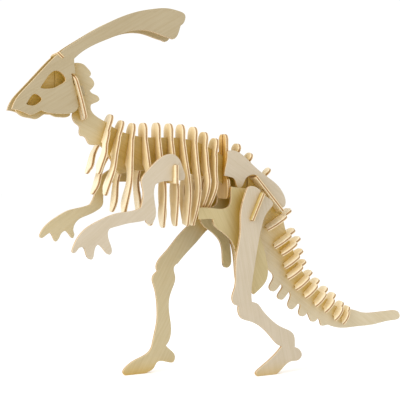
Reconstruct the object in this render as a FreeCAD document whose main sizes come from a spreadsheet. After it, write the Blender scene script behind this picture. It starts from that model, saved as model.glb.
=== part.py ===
import FreeCAD, Part
import Sketcher
import os

# Slot-together plywood skeleton of a crested duck-billed dinosaur, standing on two legs.
# Millimetres. +X towards the tail, +Y the animal's right side, +Z up, ground at Z = 0.
# Every piece is a flat plate. Side plates lie parallel to the X-Z plane at a fixed Y.
# Cross plates stand across them, each leaning by its own angle about Y.

doc = FreeCAD.newDocument("duckbill_skeleton")
sheet = doc.addObject("Spreadsheet::Sheet", "dims")
DIMS = [
    ("ply", 3.0, "plywood thickness"),
    ("slotwide", 3.12, "width of every slot, a light push fit on the ply"),
    ("skullside", 9.0, "centre line to skull plate"),
    ("iliumside", 9.0, "centre line to ilium plate"),
    ("pelvisside", 13.5, "centre line to pelvis plate"),
    ("limbside", 27.0, "centre line to arm and leg plates"),
    ("barhalf", 33.0, "half length of the two limb bars"),
    ("flushhalf", 10.45, "half width of plates that end flush with the skull and ilium plates"),
    ("ribtab", 8.4, "half width of a rib's top tab"),
    ("ribband", 9.4, "width of a rib's band"),
    ("shouldertop", 191.3, "top of the shoulder bar"),
    ("shoulderbase", 175.5, "underside of the shoulder bar"),
    ("hipdeep", 27.0, "depth of the hip bar where the legs hang"),
    ("hiptongue", 32.0, "height of the hip bar's middle tongue"),
]
for row, (alias, size, note) in enumerate(DIMS, start=1):
    sheet.set("A%d" % row, alias)
    sheet.set("B%d" % row, str(size))
    sheet.set("C%d" % row, note)
    sheet.setAlias("B%d" % row, alias)
doc.recompute()
D = {alias: float(sheet.get(alias)) for alias, _, _ in DIMS}

# Side outlines, (X, Z). Each run starts where the last one ended.
SKULL = [("start", (-199, 236.6)),
     ("curve", (-195.5, 245), (-187.5, 254.5), (-175, 268), (-160, 283.5), (-140.5, 297.5),
              (-114, 313.5), (-96, 321.5), (-77.5, 326.5)),
     ("curve", (-63.5, 328.5), (-51, 327), (-45, 324), (-45, 319.5), (-49, 314.5)),
     ("curve", (-50.5, 310), (-52, 306), (-55, 302.5), (-59.5, 303)),
     ("curve", (-68, 305), (-77.5, 307.5), (-87, 308), (-98, 306), (-114, 299.5),
              (-132, 291), (-141, 285), (-146.5, 280)),
     ("line", (-146.2, 274.5), (-145.4, 267.6), (-149, 267.6), (-146.6, 258), (-139, 258),
              (-137, 249.6), (-144.4, 249.6), (-143, 243.5)),
     ("curve", (-143.6, 238.5), (-147.5, 235.2), (-153, 234), (-162.5, 234), (-168.5, 234.5),
              (-174.5, 236.5)),
     ("curve", (-178, 234.5), (-183.5, 232.5), (-188, 234), (-192, 235.5), (-199, 236.6))]
EYE = [("start", (-175, 255.5)),
     ("loop", (-170, 263), (-161.5, 269.5), (-156.5, 267), (-154, 262), (-158.5, 258), (-167, 254.5))]
NOSTRIL = [("start", (-187, 241.5)),
     ("loop", (-183.5, 247), (-180.5, 249.5), (-177, 248.5), (-174.5, 245.5), (-178, 241.5),
              (-183, 240))]
JAW = [("start", (-194.5, 240)),
     ("curve", (-193.5, 235.5), (-188.5, 231.5), (-181, 230), (-177, 229.5), (-170, 233.5),
              (-166, 234), (-161, 232), (-155.5, 231.5), (-151.5, 231.5), (-147.5, 233.5)),
     ("line", (-147.5, 244.5), (-160.75, 244.5), (-160.75, 277.2)),
     ("curve", (-172, 266.5), (-183.5, 254), (-190.5, 246), (-194.5, 240))]
SPINE = [("start", (-160.5, 271)),
     ("line", (-146.5, 277)),
     ("curve", (-139.5, 278), (-135.5, 277), (-133.5, 275.5)),
     ("curve", (-130.5, 272.5), (-129, 270), (-130.5, 266.5)),
     ("curve", (-127.5, 264.5), (-126, 260.5), (-127.5, 257.5), (-130, 255)),
     ("curve", (-127.5, 252.5), (-123, 250.5), (-121.5, 247.5), (-124.5, 245), (-129, 243)),
     ("curve", (-129, 238.5), (-126, 234.5), (-117, 229), (-108, 223.5), (-95, 218.5),
              (-79, 216), (-50, 216), (-30, 212.5), (-13, 205.5), (1, 198), (15.5, 189)),
     ("line", (21.8, 184.6), (21.6, 170.8), (14, 168.2)),
     ("curve", (5, 169.5), (-3, 174), (-12, 178.5), (-23, 181.5), (-50, 184.5), (-74.5, 186),
              (-88.5, 186.5), (-96, 185.5), (-103.5, 183)),
     ("curve", (-111.5, 196), (-117, 204.5), (-122.5, 209)),
     ("curve", (-127.5, 208.5), (-131, 209.5), (-133, 213), (-138, 216)),
     ("curve", (-139.5, 220.5), (-139.5, 224), (-142.5, 226.5), (-145, 230), (-145, 235.5)),
     ("line", (-145, 246.5), (-160.5, 246)),
     ("line", (-160.5, 271))]
ILIUM = [("start", (-3, 203.5)),
     ("curve", (1.5, 205), (7, 204), (14, 200), (25, 190.5), (41.5, 179), (51, 171.5), (57, 162.5),
              (58.3, 157), (56.8, 152.6), (52.9, 152.5)),
     ("line", (43, 163.8), (40.7, 161.7), (34.1, 169.2), (36.4, 171.3), (27.1, 181.8)),
     ("curve", (21.5, 182.6), (15.5, 178.5), (12.5, 172.5), (9, 170.2), (6.5, 173), (4, 179),
              (-1, 181), (-6, 182)),
     ("curve", (-5, 189), (-3.4, 196), (-3, 203.5))]
PELVIS = [("start", (-1, 172)),
     ("line", (14.5, 170), (33.5, 159.5)),
     ("curve", (34, 152), (30, 139.5), (28, 126.5)),
     ("curve", (31.5, 118), (35, 106), (37, 93.5), (35.5, 85.5), (28, 77), (22, 72.5)),
     ("curve", (18.5, 79), (16.5, 90), (15.5, 103), (13.5, 114), (10.5, 122.5)),
     ("curve", (11.8, 113), (12.5, 104), (12, 98.5), (9, 95.5), (5.5, 96), (3.7, 101),
              (3.3, 109), (1, 119.5), (-5, 127), (-10.5, 131.2), (-16, 135), (-19, 139.5),
              (-19.3, 142.8)),
     ("curve", (-24, 143.4), (-29, 143.3), (-34.3, 143.2)),
     ("line", (-34.3, 153.6)),
     ("curve", (-26, 153.6), (-16, 152.4), (-7, 152.6), (-3, 155)),
     ("curve", (-1.5, 160), (-1.5, 165.5), (-1, 172))]
LEG_L = [("start", (8, 170.5)),
     ("curve", (11, 172.5), (16, 172), (21, 169), (26, 164), (31.5, 160.5),
              (34.5, 156.5), (31, 151.5), (26, 145), (23, 136.5), (20.5, 126.5),
              (15, 97), (12.5, 79), (13, 67.5)),
     ("curve", (19, 66), (23.5, 60.5), (29, 54.5), (44, 43), (57, 34.5), (58, 29),
              (58, 23)),
     ("curve", (64, 19.5), (65.5, 15.5), (62, 11), (54.5, 10.5), (48, 7.5), (43.5, 3.5), (38.5, 0)),
     ("line", (19, 0)),
     ("curve", (17, 3), (20.5, 6.5), (31, 13.5), (38, 19), (44, 25)),
     ("curve", (38.5, 28.5), (32.5, 35), (20.5, 46), (9.5, 51), (2.5, 54), (-0.5, 59), (-0.5, 65.5)),
     ("curve", (-5.5, 68), (-7, 73), (-4.5, 81.5), (-3.5, 96), (-2.5, 110.5),
              (0.5, 125), (1.5, 136), (1.5, 147.5), (4, 159.5), (8, 170.5))]
LEG_R = [("start", (27.5, 168)),
     ("curve", (35, 162.5), (37.5, 155), (32, 147), (19, 140), (6, 136.5),
              (-6.5, 130), (-15.5, 121), (-26.5, 110.5), (-36.5, 100)),
     ("curve", (-40.5, 95.5), (-39, 87.5), (-41, 79), (-44.5, 70), (-45.5, 58),
              (-43.5, 43), (-44.5, 30.5), (-48.5, 24)),
     ("curve", (-43.5, 19), (-39.5, 13.5), (-41, 8), (-47.5, 8.5), (-57.5, 9), (-61, 4),
              (-65.5, 1.2), (-70, 0)),
     ("line", (-89, 0)),
     ("curve", (-91, 3.2), (-88, 7.5), (-78, 13.5), (-67.5, 18), (-62, 26.5)),
     ("curve", (-60.5, 33.5), (-57.5, 47.5), (-57.5, 63), (-60, 78.5), (-62, 86.5), (-57, 93.5)),
     ("curve", (-58, 99), (-56, 103.5), (-48.5, 111.5), (-37.5, 124), (-27, 134),
              (-16, 143.5), (-5.5, 155), (4, 165.5), (14.5, 171), (27.5, 168))]
ARM_L = [("start", (-66, 201)),
     ("curve", (-76, 197.5), (-83, 191.5), (-89.5, 185), (-93.5, 178.5), (-92, 169.5), (-92.5, 161),
              (-94, 155.5)),
     ("curve", (-102, 152.5), (-111.5, 151.5), (-122, 149), (-130.5, 145.5), (-139.5, 141),
              (-146.5, 135.5), (-151.5, 128.5), (-154.5, 121)),
     ("curve", (-153.5, 119), (-151, 120), (-148.5, 123), (-145.5, 123.5), (-143, 119),
              (-140.5, 114), (-138, 113), (-136, 116), (-135, 121.5), (-132.5, 125),
              (-129, 123), (-125.5, 118.5), (-122.5, 116.5), (-120, 119.5)),
     ("curve", (-121.5, 125.5), (-123.5, 132.5), (-122.5, 137.5), (-117.5, 139.5), (-106.5, 142),
              (-94.5, 143.5), (-89.5, 144.5)),
     ("curve", (-88, 141.5), (-84.5, 141), (-82, 144), (-80.5, 148), (-81, 157.5),
              (-82, 168.5), (-80.5, 175)),
     ("curve", (-72, 177.5), (-61.5, 178), (-54, 178.5)),
     ("curve", (-53, 182), (-55, 188.5), (-57.5, 195), (-61.5, 199.5), (-66, 201))]
ARM_R = [("start", (-68, 201.5)),
     ("curve", (-79.5, 198.5), (-90, 193), (-102, 188), (-110.5, 182), (-114.5, 174.5),
              (-117, 166.5), (-121.5, 156.5)),
     ("curve", (-130, 154), (-141.5, 151.5), (-150.5, 147), (-157.5, 142.5), (-163.5, 137),
              (-167.5, 130)),
     ("curve", (-166, 128), (-162, 130), (-158, 132), (-156, 129), (-153, 124.5),
              (-150, 127.5), (-147.5, 132), (-144.5, 133.5), (-141.5, 131),
              (-138, 127), (-136, 130.5)),
     ("curve", (-136.5, 137.5), (-132.5, 143), (-125, 146.5), (-115, 151), (-110, 155.5),
              (-109, 165), (-105, 172.5), (-96.5, 176.5)),
     ("curve", (-83, 176.5), (-68, 177), (-55.5, 178)),
     ("curve", (-54.5, 181.5), (-56.5, 188.5), (-59.5, 195.5), (-63, 200), (-68, 201.5))]
TAIL = [("start", (28.5, 182)),
     ("curve", (34, 181), (40, 176.5), (48.5, 168), (55, 157), (59.5, 146), (64, 129), (69.5, 116.5), (77.5, 97.5),
              (86.5, 84.5), (103, 68), (119.5, 54.5), (134.5, 47.5)),
     ("curve", (141.5, 48.5), (151, 45.5), (169, 44), (188.5, 44.5), (196.9, 42.5),
              (198.4, 37.5), (187.5, 34.5), (165.5, 32), (145, 31.5), (127.5, 31.5),
              (114, 35)),
     ("curve", (109.5, 35.5), (104.5, 35.5), (103, 39.5), (100, 43)),
     ("curve", (98.5, 41), (94, 40), (91, 44), (88, 49.5)),
     ("curve", (86, 47), (82, 46), (79, 49.5), (80.5, 57), (77.5, 58.5)),
     ("curve", (74, 55), (70.5, 53.5), (67, 57.5), (69.5, 66), (67.5, 71)),
     ("curve", (63, 65.5), (59, 63.5), (55.5, 66), (60.5, 76.5), (58, 78.5)),
     ("curve", (54.5, 74), (50, 72), (46.5, 75), (50.5, 84.5), (49, 89.5)),
     ("curve", (40, 100.5), (30.5, 117), (22, 133)),
     ("curve", (16.5, 138.5), (9.5, 140.5), (4, 150.5)),
     ("line", (6.5, 164), (22.6, 169.6), (22.7, 181.5), (28.5, 182))]

# Plates across the body. Each is (X, Z) of its top, then its lean in degrees: a positive
# lean tips the top towards the tail.
# Ribs: X, Z, lean, length, half width, half gap of the ends, slot top, arch top.
RIBS = [
    (-111.1, 235, 18, 54, 19.8, 16, 19, 25.5),
    (-101.1, 230, 18.2, 68, 21.2, 17, 22, 31.5),
    (-91.1, 228, 10, 79.5, 21.5, 15.5, 27, 36.5),
    (-81.1, 228.5, 0, 81.5, 21.5, 12, 27, 36),
    (-68.6, 229, 0, 92.5, 21.5, 15, 27.5, 36),
    (-56.6, 228.5, 0, 91, 21.5, 14.5, 27.5, 36.5),
    (-45.1, 228, 0, 90.5, 22, 14, 27.5, 36.5),
    (-32.6, 226, 3, 89, 21.5, 8.5, 26.5, 35.5),
    (-21.9, 221.5, 5, 71.5, 21, 8, 26, 34),
    (-10.9, 216, 10, 66, 20, 8, 23, 30.5),
]
# Tail vertebrae: X, Z, lean, length, half width, top of the tail plate's edge.
VERTEBRAE = [
    (68, 149.5, 59, 35.5, 15, 9),
    (72.5, 130.5, 58, 30.5, 13, 8.5),
    (78.5, 122.5, 57, 28.5, 12.5, 8.5),
    (81.5, 110.5, 56, 28.5, 12.5, 8.5),
    (85, 100, 56, 28.5, 12.5, 8.5),
    (92, 89.5, 53, 27, 12, 8),
    (100, 81.5, 49, 25.5, 12.5, 8),
    (109.5, 73, 45, 24, 12, 7.5),
    (118.5, 66.5, 41, 22.5, 11.5, 7),
    (128, 57.5, 36, 20.5, 10.5, 6.5),
    (135.5, 52.5, 30, 19, 9, 6),
]
# Sacral plates: X, Z, lean, knob half width, neck, shoulder, foot, slot top.
SACRALS = [
    (12, 211, 10, 7.5, 5, 9.5, 30.5, 24.5),
    (25.5, 202.5, 25, 7, 5, 8.5, 30, 22.5),
    (46, 188.5, 41, 5, 4, 10, 18.4, 15.7),
]
HIP = (11.4, 141.9, 24.8)        # underside of the hip bar and its lean
COLLAR = (-146.6, 266.9, -14.6)    # top of the collar behind the skull, and its lean
BROW = (-160.4, 284.5, -47.6)    # top of the brow plate, and its lean
DECK = (25.95, 180.75, -41.4)       # upper end of the deck under the ilium plates, and its lean
SHOULDER_X = -62.6
HIPFRONT_X = -1.8
SNOUT_X = -190.0


def origin_plane(body, role):
    return [f for f in body.Origin.OriginFeatures if f.Role == role][0]


def vec(point):
    return FreeCAD.Vector(point[0], point[1], 0)


def new_sketch(body, name, role, at=(0, 0), turn=0):
    sketch = body.newObject("Sketcher::SketchObject", name)
    sketch.AttachmentSupport = [(origin_plane(body, role), "")]
    sketch.MapMode = "FlatFace"
    sketch.AttachmentOffset = FreeCAD.Placement(
        vec(at), FreeCAD.Rotation(FreeCAD.Vector(0, 0, 1), turn))
    return sketch


def draw(sketch, outline):
    here = outline[0][1]
    for run in outline[1:]:
        kind, points = run[0], list(run[1:])
        if kind == "line":
            for point in points:
                sketch.addGeometry(Part.LineSegment(vec(here), vec(point)), False)
                here = point
            continue
        spline = Part.BSplineCurve()
        if kind == "loop":
            spline.interpolate([vec(here)] + [vec(p) for p in points], PeriodicFlag=True)
        else:
            spline.interpolate([vec(here)] + [vec(p) for p in points])
        sketch.addGeometry(spline, False)
        here = points[-1]


def plate(name, outline, role, holes=()):
    body = doc.addObject("PartDesign::Body", name)
    body.Label = name
    sketch = new_sketch(body, name + "_outline", role)
    draw(sketch, outline)
    for hole in holes:
        draw(sketch, hole)
    pad = body.newObject("PartDesign::Pad", name + "_pad")
    pad.Profile = sketch
    pad.SideType = "Symmetric"
    pad.setExpression("Length", "dims.ply")
    doc.recompute()
    return body


def side_plate(name, outline, alias=None, sign=1, holes=()):
    body = plate(name, outline, "XZ_Plane", holes)
    if alias:
        body.setExpression("Placement.Base.y", "%sdims.%s" % ("-" if sign < 0 else "", alias))
    return body


def cross_plate(name, outline, x, z, lean=0):
    # The outline is (Y, height) with the height measured from the plate's own reference point.
    body = plate(name, outline, "YZ_Plane")
    body.Placement = FreeCAD.Placement(
        FreeCAD.Vector(x, 0, z), FreeCAD.Rotation(FreeCAD.Vector(0, 1, 0), lean))
    return body


def cut(body, role, low, high, at=(0, 0), turn=0, across=None):
    # One straight slot: width from the sheet, from low to high along its own centre line.
    before = body.Shape.Volume
    name = "%s_slot%d" % (body.Name, len([o for o in body.Group if "slot" in o.Name]) // 2 + 1)
    sketch = new_sketch(body, name + "_line", role, at, turn)
    half = D["slotwide"] / 2
    mid = 0
    if across:
        alias, sign = across
        mid = sign * D[alias]
    corners = [(mid - half, low), (mid + half, low), (mid + half, high), (mid - half, high)]
    for i in range(4):
        sketch.addGeometry(Part.LineSegment(vec(corners[i]), vec(corners[(i + 1) % 4])), False)
    for i in range(4):
        sketch.addConstraint(Sketcher.Constraint("Coincident", i, 2, (i + 1) % 4, 1))
    for i, way in enumerate(("Horizontal", "Vertical", "Horizontal", "Vertical")):
        sketch.addConstraint(Sketcher.Constraint(way, i))
    wide = sketch.addConstraint(Sketcher.Constraint("DistanceX", 0, 1, 0, 2, 2 * half))
    sketch.renameConstraint(wide, "wide")
    sketch.setExpression("Constraints.wide", "dims.slotwide")
    left = sketch.addConstraint(Sketcher.Constraint("DistanceX", -1, 1, 0, 1, mid - half))
    sketch.renameConstraint(left, "left")
    if across:
        sketch.setExpression(
            "Constraints.left", "%sdims.%s - dims.slotwide / 2" % ("-" if sign < 0 else "", alias))
    else:
        sketch.setExpression("Constraints.left", "-dims.slotwide / 2")
    sketch.addConstraint(Sketcher.Constraint("DistanceY", -1, 1, 0, 1, low))
    sketch.addConstraint(Sketcher.Constraint("DistanceY", 1, 1, 1, 2, high - low))
    pocket = body.newObject("PartDesign::Pocket", name)
    pocket.Profile = sketch
    pocket.SideType = "Symmetric"
    pocket.Type = "Length"
    pocket.setExpression("Length", "dims.ply * 3")
    doc.recompute()
    if body.Shape.Volume > before - 1:
        raise RuntimeError("slot %s cuts nothing" % name)


def side_slot(body, ref, low, high):
    # A slot in a side plate for the cross plate that stands at ref, with its lean.
    x, z, lean = ref
    cut(body, "XZ_Plane", low, high, (x, z), -lean)


def cross_slot(body, low, high, alias=None):
    # Slots in a cross plate: one on the centre line, or a pair at a side plate's distance.
    if alias is None:
        cut(body, "YZ_Plane", low, high)
        return
    for sign in (-1, 1):
        cut(body, "YZ_Plane", low, high, across=(alias, sign))


def mirrored(half):
    # Closes a half outline, drawn from the top centre down the +Y side, with its mirror image.
    runs = [("start", half[0][1])]
    here = half[0][1]
    points = [here]
    for run in half[1:]:
        runs.append(run)
        points.append(run[-1])
    for i in range(len(half) - 1, 0, -1):
        kind = half[i][0]
        path = list(half[i][1:-1])[::-1] + [points[i - 1]]
        runs.append((kind,) + tuple((-y, z) for y, z in path))
    return runs


def rib(length, half, ends, arch):
    tab, band = D["ribtab"], D["ribband"]
    k = length / 92.0
    inner = ends - band / 2
    return [
        ("start", (0, 0)),
        ("curve", (tab * 0.72, -1.6), (tab, -6)),
        ("line", (tab, -15)),
        ("curve", (tab + 2, -22 * (0.4 + 0.6 * k)), (half * 0.72, -38 * (0.3 + 0.7 * k)),
         (half, -60 * k), (half * 0.6 + (ends + 3) * 0.4, -77 * k), (ends + 3, -length + 3)),
        ("curve", (ends + 1.6, -length + 0.4), (ends - 1.2, -length + 0.5), (inner, -length + 3.5)),
        ("curve", (half * 0.6 + inner * 0.4 - band, -78 * k), (half - band, -61 * k),
         (half * 0.66 - band * 0.5, (-arch - 60 * k) / 2 + 0.5), (0, -arch)),
    ]


def vertebra(length, half):
    tab = 0.3 * half + 2.8
    return [
        ("start", (0, 0)),
        ("curve", (tab * 0.75, -0.9), (tab, -3.6)),
        ("line", (tab, -length * 0.26)),
        ("curve", (half - 1, -length * 0.37), (half, -length * 0.52)),
        ("curve", (half - 0.4, -length * 0.8), (half - 2.6, -length)),
        ("curve", (half * 0.38, -length + 3.2), (0, -length + 4.5)),
    ]


def sacral(knob, neck, shoulder, foot):
    inside = D["iliumside"] - D["ply"] / 2 - 0.15
    return [
        ("start", (0, 0)),
        ("curve", (knob * 0.7, -0.9), (knob, -4.6), (knob * 0.75, -7.6), (neck, -shoulder + 0.6)),
        ("line", (neck, -shoulder), (inside, -shoulder), (inside, -foot + 2), (inside - 2, -foot),
         (0, -foot)),
    ]


def leaning(row):
    return row[0], row[1], row[2]


# Spine, with the neck in one piece, and the plates that it carries.
spine = side_plate("spine_plate", SPINE)
for number, row in enumerate(RIBS, start=1):
    length, half, ends, mid, arch = row[3:]
    body = cross_plate("rib_%d" % number, mirrored(rib(length, half, ends, arch)), *leaning(row))
    cross_slot(body, -arch - 4, -mid + 0.05)
    side_slot(spine, leaning(row), -mid - 0.05, 4)

for number, row in enumerate(SACRALS, start=1):
    knob, neck, shoulder, foot, mid = row[3:]
    body = cross_plate(
        "sacral_plate_%d" % number, mirrored(sacral(knob, neck, shoulder, foot)), *leaning(row))
    cross_slot(body, -foot - 4, -mid + 0.05)
    if number < 3:
        side_slot(spine, leaning(row), -mid - 0.05, 4)

# Collar plate behind the skull: a narrow tab stands in the neck's slot.
collar_half = [
    ("start", (0, 10)),
    ("line", (3.2, 9), (3.4, 1)),
    ("curve", (8, -0.6), (12.6, -3.7), (14, -9)),
    ("curve", (14.6, -17), (14.8, -26), (14.2, -33)),
    ("curve", (13.2, -36.5), (10, -38.2), (6, -38.6)),
    ("line", (0, -38.6)),
]
collar = cross_plate("neck_collar", mirrored(collar_half), *COLLAR)
cross_slot(collar, -42, -15.85)
side_slot(spine, COLLAR, -15.95, 15)
cross_slot(collar, -42, -8.5, "skullside")

# Shoulder bar, pushed up into the underside of the spine; the arms hang over its ends.
bar_top, bar_base = D["shouldertop"], D["shoulderbase"]
bar_mid = (bar_top + 185.6) / 2
edge = D["barhalf"]
bar = cross_plate("shoulder_bar", [
    ("start", (-edge, bar_base)),
    ("line", (edge, bar_base), (edge, bar_top), (-edge, bar_top), (-edge, bar_base))],
    SHOULDER_X, 0)
cross_slot(bar, bar_mid - 0.05, bar_top + 3)
side_slot(spine, (SHOULDER_X, 0, 0), 176, bar_mid + 0.05)
ARM_MID = 183.6
cross_slot(bar, ARM_MID - 0.05, bar_top + 3, "limbside")

# Front hip plate: pushed up into the underside of the spine, ahead of the hips.
front_half = [
    ("start", (0, 219.8)),
    ("curve", (5.4, 218.8), (7.3, 215.5)),
    ("line", (7.3, 180)),
    ("curve", (10, 177.6), (11, 172), (10.6, 164.5), (7, 160.8)),
    ("line", (0, 160.8)),
]
hip_front = cross_plate("hip_front_plate", mirrored(front_half), HIPFRONT_X, 0)
cross_slot(hip_front, 194.45, 223)
side_slot(spine, (HIPFRONT_X, 0, 0), 170, 194.55)

# Ilium plates: each has a foot that goes through the deck between the hip and the tail.
for name, sign in (("ilium_left", -1), ("ilium_right", 1)):
    side_plate(name, ILIUM, "iliumside", sign)

# Pelvis plates, hung on the hip bar.
for name, sign in (("pelvis_left", -1), ("pelvis_right", 1)):
    body = side_plate(name, PELVIS, "pelvisside", sign)
    side_slot(body, HIP, D["hipdeep"] / 2 - 0.05, 34)

# Hip bar: the legs and the pelvis hang in its underside, the tail sits on its middle.
deep, tongue = D["hipdeep"], D["hiptongue"]
flush = D["flushhalf"]
hip_half = [
    ("start", (0, tongue)),
    ("line", (flush, tongue), (flush, deep), (edge, deep), (edge, 0), (0, 0)),
]
hip_bar = cross_plate("hip_bar", mirrored(hip_half), *HIP)
cross_slot(hip_bar, deep / 2 - 0.05, tongue + 3)
cross_slot(hip_bar, -3, deep / 2 + 0.05, "pelvisside")
cross_slot(hip_bar, -3, deep / 2 + 0.05, "limbside")

# Tail, the deck that crosses it under the ilium plates, and the vertebrae along its back.
tail = side_plate("tail_plate", TAIL)
side_slot(tail, HIP, -8, deep / 2 + 0.05)
side_slot(tail, leaning(SACRALS[2]), -SACRALS[2][7] - 0.05, 0)
deck_half = [("start", (0, 0)), ("line", (13, 0), (13, -43), (0, -43))]
deck_plate = cross_plate("sacral_deck", mirrored(deck_half), *DECK)
cross_slot(deck_plate, -46, -25.95)
cross_slot(deck_plate, -24.1, -13.9, "iliumside")
side_slot(tail, DECK, -26.05, 6)
for number, row in enumerate(VERTEBRAE, start=1):
    length, half, edge_at = row[3:]
    mid = (edge_at + length - 4.5) / 2
    body = cross_plate(
        "tail_vertebra_%d" % number, mirrored(vertebra(length, half)), *leaning(row))
    cross_slot(body, -length - 3, -mid + 0.05)
    side_slot(tail, leaning(row), -mid - 0.05, 3)

# Legs stand under the hip bar, arms hang over the shoulder bar.
for name, outline, sign in (("leg_left", LEG_L, -1), ("leg_right", LEG_R, 1)):
    body = side_plate(name, outline, "limbside", sign)
    side_slot(body, HIP, deep / 2 - 0.05, deep + 14)
for name, outline, sign in (("arm_left", ARM_L, -1), ("arm_right", ARM_R, 1)):
    body = side_plate(name, outline, "limbside", sign)
    side_slot(body, (SHOULDER_X, 0, 0), 168, ARM_MID + 0.05)

# Head: two skull plates, the brow and snout plates between them, and the lower jaw.
for name, sign in (("skull_left", -1), ("skull_right", 1)):
    body = side_plate(name, SKULL, "skullside", sign, [EYE, NOSTRIL])
    side_slot(body, BROW, -6.1, 3)
inside = D["skullside"] - D["ply"] / 2 - 0.15
brow_half = [
    ("start", (0, 0)),
    ("line", (flush, 0), (flush, -6), (inside, -6), (inside, -10), (0, -10)),
]
cross_plate("brow_plate", mirrored(brow_half), *BROW)
snout_half = [("start", (0, 247.6)), ("line", (inside, 247.6), (inside, 237), (0, 237))]
snout = cross_plate("snout_plate", mirrored(snout_half), SNOUT_X, 0)
cross_slot(snout, 233, 241.85)
jaw = side_plate("jaw_plate", JAW)
side_slot(jaw, (SNOUT_X, 0, 0), 241.75, 256)

doc.recompute()

# Everything has to be whole before anything is written.
for item in doc.Objects:
    if any(word in ("Invalid", "Error") for word in item.State):
        raise RuntimeError("%s is %s" % (item.Name, item.State))
bodies = [o for o in doc.Objects if o.TypeId == "PartDesign::Body"]
for body in bodies:
    if body.Shape.isNull() or not body.Shape.isValid():
        raise RuntimeError(body.Label + " has no valid shape")
    if len(body.Shape.Solids) != 1:
        raise RuntimeError("%s is %d solids" % (body.Label, len(body.Shape.Solids)))
os.makedirs("parts", exist_ok=True)
box = FreeCAD.BoundBox()
for body in bodies:
    body.Shape.exportStep("parts/%s.step" % body.Label)
    box.add(body.Shape.BoundBox)
print(len(bodies), "pieces", box)
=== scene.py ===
import math

import bpy
import numpy as np
from mathutils import Matrix, Vector


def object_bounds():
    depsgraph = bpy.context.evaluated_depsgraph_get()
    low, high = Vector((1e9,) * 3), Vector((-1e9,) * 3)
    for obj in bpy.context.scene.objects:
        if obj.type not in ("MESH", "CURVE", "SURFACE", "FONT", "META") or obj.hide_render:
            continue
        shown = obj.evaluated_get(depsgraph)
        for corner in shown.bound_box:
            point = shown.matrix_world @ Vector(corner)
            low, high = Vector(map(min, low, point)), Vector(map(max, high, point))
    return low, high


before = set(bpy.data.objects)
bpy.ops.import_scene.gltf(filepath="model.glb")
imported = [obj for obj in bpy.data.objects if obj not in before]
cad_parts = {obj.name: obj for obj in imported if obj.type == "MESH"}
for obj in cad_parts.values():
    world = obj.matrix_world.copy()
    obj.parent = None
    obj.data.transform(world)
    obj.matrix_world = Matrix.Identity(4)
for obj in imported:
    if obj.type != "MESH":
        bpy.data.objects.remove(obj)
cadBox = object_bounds()
print("frame loaded:", len(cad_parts), "plates")


class Wire:  # an output socket that can stand in a sum or a product
    def __init__(self, shader, socket):
        self.shader = shader
        self.socket = socket

    def maths(self, operation, *values):
        return self.shader.node("Math", {"operation": operation}, list(values))

    def __add__(self, other):
        return self.maths("ADD", self, other)

    def __sub__(self, other):
        return self.maths("SUBTRACT", self, other)

    def __rsub__(self, other):
        return self.maths("SUBTRACT", other, self)

    def __mul__(self, other):
        return self.maths("MULTIPLY", self, other)

    def __abs__(self):
        return self.maths("ABSOLUTE", self)

    __radd__ = __add__


class Shader:
    def __init__(self, name):
        self.material = bpy.data.materials.new(name)
        self.material.use_nodes = True
        self.tree = self.material.node_tree
        self.surface = self.tree.nodes["Principled BSDF"]

    def feed(self, socket, value):
        if isinstance(value, Wire):
            self.tree.links.new(value.socket, socket)
        else:
            socket.default_value = value

    def node(self, kind, settings, inputs, output=0):
        new = self.tree.nodes.new("ShaderNode" + kind)
        for key, value in settings.items():
            setattr(new, key, value)
        pairs = inputs.items() if isinstance(inputs, dict) else enumerate(inputs)
        for place, value in pairs:
            self.feed(new.inputs[place], value)
        return Wire(self, new.outputs[output])

    def blend(self, amount, first, second, way="MIX"):
        settings = {"data_type": "RGBA", "blend_type": way}
        return self.node("Mix", settings, {0: amount, 6: first, 7: second}, output=2)

    def ease(self, value, low, high):  # 0 below low, 1 above high, smooth between
        settings = {"interpolation_type": "SMOOTHSTEP"}
        return self.node("MapRange", settings, [value, low, high, 0.0, 1.0])

    def noise(self, where, stretch, detail, roughness=0.5):
        spread = self.node("VectorMath", {"operation": "MULTIPLY"}, [where, stretch])
        return self.node("TexNoise", {}, {
            "Vector": spread, "Scale": 1.0, "Detail": detail, "Roughness": roughness})


def colour(red, green, blue):  # from 0-255 screen values to the shader's linear ones
    return tuple(((c / 255 + 0.055) / 1.055) ** 2.4 for c in (red, green, blue)) + (1.0,)


# Plywood. Lengths in millimetres, colours as a screen shows them.
ply = {
    "veneer": 0.85,          # thickness of each outer ply
    "arris": 0.3,            # width that the sandpaper took off every edge
    "arrisAngle": 35,        # degrees between two faces that count as an edge
    "flatAngle": 0.25,       # degrees between triangles that count as one flat
    "glueWander": 0.16,      # how far the glue lines wander
    "glueSoft": 0.08,        # how softly a glue line ends
    "grainLong": 55,         # length of a grain streak
    "grainWide": 1.7,        # width of a grain streak
    "fibreLong": 9,
    "fibreWide": 0.28,
    "cloudLong": 40,         # broad lighter and darker patches
    "cloudWide": 14,
    "fleckLong": 1.6,        # short dark pores
    "fleckWide": 0.22,
    "fleckColour": (150, 120, 78),
    "fleckShows": 0.35,
    "cutRidge": 0.35,        # spacing of the ridges that the cutting die leaves
    "core": (164, 126, 84),
    "coreDark": (134, 96, 58),
    "outerEdge": (222, 202, 164),
    "paintedShadeTone": (255, 222, 78),   # honey colour painted in as shade deep between the plates
    "paintedShadeReach": 0.022,      # metres over which that comes on
    "paintedShadeRays": 8,
    "roughness": 0.62,
    "fibreRough": 0.16,      # how much rougher the fibres are
    "coreRough": 0.08,
    "gloss": 0.35,
    "bump": 0.35,
    "bumpDeep": 0.00012,     # metres
    "boardAlong": 0.37,      # metres along the board from one plate's cutting to the next
    "boardAcross": 0.23,
}
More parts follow.
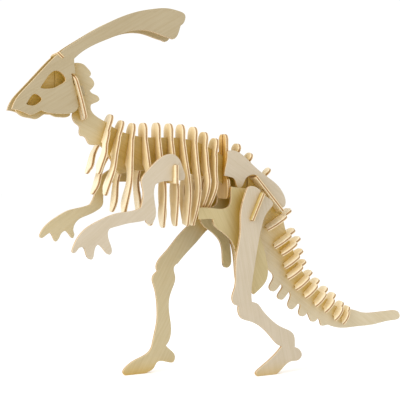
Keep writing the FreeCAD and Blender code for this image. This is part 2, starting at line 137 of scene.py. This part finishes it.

# Face veneers: a light tone, a darker streak tone, and how strongly the painted honey shade shows in
# the nooks.
veneers = {
    "pale": {"light": (186, 173, 152), "streak": (178, 164, 140), "paintedShade": 0.8},
    "tan": {"light": (183, 169, 135), "streak": (174, 158, 121), "paintedShade": 1.0},
    "skull": {"light": (165, 151, 122), "streak": (157, 141, 109), "paintedShade": 1.0},
    "straw": {"light": (184, 168, 126), "streak": (174, 157, 112), "paintedShade": 1.0},
    # cream and milk are painted light: brighter copies of the ply so that ribs, shoulders, sacral
    # knobs and vertebrae look lit, and they take less painted shade
    "creamPaintedLight": {"light": (224, 211, 184), "streak": (213, 197, 164), "paintedShade": 0.5},
    "milkPaintedLight": {"light": (243, 233, 210), "streak": (233, 219, 189), "paintedShade": 0.34},
    "honey": {"light": (188, 173, 140), "streak": (178, 161, 123), "paintedShade": 1.0},
    "sand": {"light": (196, 183, 156), "streak": (186, 171, 139), "paintedShade": 1.0},
    # amber is painted shade: a darker, more orange copy of the ply for the hip front plate, which
    # stands deep in shade
    "amberPaintedShade": {"light": (203, 176, 128), "streak": (190, 160, 108), "paintedShade": 1.0},
}

veneerOf = {
    "pale": ("leg_left", "arm_left", "ilium", "neck"),
    "tan": ("leg_right", "arm_right"),
    "skull": ("skull",),
    "honey": ("jaw", "spine"),
    "sand": ("tail_plate",),
    "straw": ("pelvis", "hip_bar", "brow", "snout"),
    # ribs, sacral knobs and shoulders get the brightened cream and tail vertebrae the brightened
    # milk, as painted light
    "creamPaintedLight": ("rib", "sacral", "shoulder"),
    "milkPaintedLight": ("tail_vertebra",),
    # the hip front plate takes the amber painted shade
    "amberPaintedShade": ("hip_front",),
}


def veneerFor(nodeName):
    starts = [(start, kind) for kind, names in veneerOf.items() for start in names]
    fits = [pair for pair in starts if nodeName.startswith(pair[0])]
    return max(fits, key=lambda pair: len(pair[0]))[1]


def plateFrame(plate):  # centre, long way, and the way through the sheet
    mesh = plate.data
    through = max(mesh.polygons, key=lambda face: face.area).normal.normalized()
    points = np.array([v.co for v in mesh.vertices])
    heights = points @ np.array(through)
    middle = (heights.max() + heights.min()) / 2
    flat = points - np.outer(heights, through)
    centre = flat.mean(0) + middle * np.array(through)
    spread = np.linalg.svd(flat - flat.mean(0), full_matrices=False)[2]
    along = Vector(spread[0])
    along = (along - along.dot(through) * through).normalized()
    return Vector(centre), along, through, (heights.max() - heights.min()) / 2 * 1000


def plyMaterial(nodeName, plate, number):
    centre, along, through, half = plateFrame(plate)
    across = through.cross(along)
    turn = Matrix((along, across, through)).transposed()
    start = centre + along * (ply["boardAlong"] * number) + across * (ply["boardAcross"] * number)
    tone = veneers[veneerFor(nodeName)]
    s = Shader("ply_" + nodeName)

    # Millimetres on the plate: along it, across it, through it.
    objectSpace = s.node("TexCoord", {}, [], output=3)
    local = s.node("Mapping", {"vector_type": "TEXTURE"}, {
        "Vector": objectSpace, "Location": start, "Rotation": turn.to_euler()})
    millimetres = s.node("VectorMath", {"operation": "SCALE"}, {"Vector": local, "Scale": 1000.0})
    depth = abs(s.node("SeparateXYZ", {}, [millimetres], output=2))

    def streaks(kind, detail, roughness=0.5):
        narrow = 1 / ply[kind + "Wide"]
        return s.noise(millimetres, (1 / ply[kind + "Long"], narrow, narrow), detail, roughness)

    # Face veneer.
    grain = streaks("grain", 3, 0.6)
    fibres = streaks("fibre", 2)
    clouds = streaks("cloud", 2)
    flecks = s.ease(streaks("fleck", 1), 0.68, 0.8)
    light, streak = colour(*tone["light"]), colour(*tone["streak"])
    shade = s.ease(grain * 0.6 + fibres * 0.25 + clouds * 0.3, 0.4, 0.78)
    face = s.blend(shade, light, streak)
    face = s.blend(flecks * ply["fleckShows"], face, colour(*ply["fleckColour"]))

    # Cut edge: a dark core between two pale veneers.
    finer = 1 / ply["cutRidge"]
    ridges = s.noise(millimetres, (finer, finer, 0.25), 2)
    wander = s.noise(millimetres, (0.12, 0.12, 0.05), 2)
    glueLine = half - ply["veneer"] + (wander - 0.5) * (2 * ply["glueWander"])
    inCore = s.ease(glueLine - depth, -ply["glueSoft"], ply["glueSoft"])
    core = s.blend(s.ease(ridges, 0.35, 0.7), colour(*ply["core"]), colour(*ply["coreDark"]))
    outer = s.blend(s.ease(ridges, 0.3, 0.75) * 0.5, colour(*ply["outerEdge"]), streak)
    edge = s.blend(inCore, outer, core)
    onFace = s.ease(depth, half - ply["arris"], half - 0.04)
    wood = s.blend(onFace, edge, face)

    # Painted shade: a honey tint multiplied into the wood where ambient occlusion finds other plates
    # close by.
    rays = {"samples": ply["paintedShadeRays"]}
    openSky = s.node("AmbientOcclusion", rays, {"Distance": ply["paintedShadeReach"]}, output=1)
    paintedShade = (1 - s.ease(openSky, 0.2, 0.92)) * tone["paintedShade"]
    paintedShadeColour = s.blend(1.0, wood, colour(*ply["paintedShadeTone"]), "MULTIPLY")
    s.feed(s.surface.inputs["Base Color"], s.blend(paintedShade, wood, paintedShadeColour))

    rough = ply["roughness"] + fibres * ply["fibreRough"] + inCore * ply["coreRough"]
    s.feed(s.surface.inputs["Roughness"], rough)
    s.surface.inputs["Specular IOR Level"].default_value = ply["gloss"]
    height = fibres * 0.5 + grain * 0.3 - flecks * 0.5 + ridges * (1 - onFace) * 0.8
    bump = s.node("Bump", {}, {
        "Strength": ply["bump"], "Distance": ply["bumpDeep"], "Height": height})
    s.feed(s.surface.inputs["Normal"], bump)
    return s.material


def sandArris(plate):  # merges the loose triangles, joins the flats, rounds every edge a little
    weld = plate.modifiers.new("joinCorners", "WELD")
    weld.merge_threshold = 1e-6
    flats = plate.modifiers.new("joinFlats", "DECIMATE")
    flats.decimate_type = "DISSOLVE"
    flats.angle_limit = math.radians(ply["flatAngle"])
    arris = plate.modifiers.new("arris", "BEVEL")
    arris.width = ply["arris"] / 1000
    arris.segments = 2
    arris.limit_method = "ANGLE"
    arris.angle_limit = math.radians(ply["arrisAngle"])
    arris.use_clamp_overlap = False


for number, (nodeName, plate) in enumerate(sorted(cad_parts.items())):
    plate.data.materials[0] = plyMaterial(nodeName, plate, number)
    sandArris(plate)
print("plates veneered and sanded")


studio = {
    "floorWide": 12.0,
    "floorDrop": 0.0001,     # below the soles, so that the two don't flicker
    "floorColour": (252, 252, 251),
    "floorRough": 0.9,
    "world": 1.04,
    "lampSize": 0.9,
    "keyPower": 14.0,
    "keyPlace": (-1.15, -0.3, 0.95),
    "fillPower": 1.5,
    "fillPlace": (0.5, -0.9, 0.9),
}


def makeFloor():
    bpy.ops.object.select_all(action="DESELECT")
    ground = cadBox[0].z - studio["floorDrop"]
    bpy.ops.mesh.primitive_plane_add(size=studio["floorWide"], location=(0, 0, ground))
    floor = bpy.context.object
    floor.name = "floor"
    s = Shader("paper")
    s.surface.inputs["Base Color"].default_value = colour(*studio["floorColour"])
    s.surface.inputs["Roughness"].default_value = studio["floorRough"]
    s.surface.inputs["Specular IOR Level"].default_value = 0.0
    floor.data.materials.append(s.material)


def makeLamp(name, aim):
    place = studio[name + "Place"]
    bpy.ops.object.select_all(action="DESELECT")
    bpy.ops.object.light_add(type="AREA", location=place)
    lamp = bpy.context.object
    lamp.name = name
    lamp.data.energy = studio[name + "Power"]
    lamp.data.size = studio["lampSize"]
    lamp.rotation_euler = (aim - Vector(place)).to_track_quat("-Z", "Y").to_euler()


def makeStudio():
    world = bpy.data.worlds.new("studio")
    world.use_nodes = True
    sky = world.node_tree.nodes["Background"].inputs
    sky["Color"].default_value = (1, 1, 1, 1)
    sky["Strength"].default_value = studio["world"]
    bpy.context.scene.world = world
    middle = (cadBox[0] + cadBox[1]) / 2
    makeLamp("key", middle)
    makeLamp("fill", middle)
    bpy.context.scene.view_settings.view_transform = "Standard"


lens = {
    "azimuth": -25,
    "elevation": 2,
    "distance": 0.8,
    "seenWide": 0.3636,      # metres across the picture at the aim point
    "aimOff": (-0.0254, 0.0, -0.0044),    # from the middle of the object's box
    "filmWide": 36,
}


def makeCamera():
    turn, rise = math.radians(lens["azimuth"]), math.radians(lens["elevation"])
    back = Vector((math.sin(turn) * math.cos(rise), -math.cos(turn) * math.cos(rise), math.sin(rise)))
    aim = (cadBox[0] + cadBox[1]) / 2 + Vector(lens["aimOff"])
    bpy.ops.object.select_all(action="DESELECT")
    bpy.ops.object.camera_add(location=aim + back * lens["distance"])
    camera = bpy.context.object
    camera.rotation_euler = (-back).to_track_quat("-Z", "Y").to_euler()
    camera.data.sensor_width = lens["filmWide"]
    camera.data.lens = lens["filmWide"] * lens["distance"] / lens["seenWide"]
    bpy.context.scene.camera = camera


makeFloor()
makeStudio()
makeCamera()
print("studio ready")
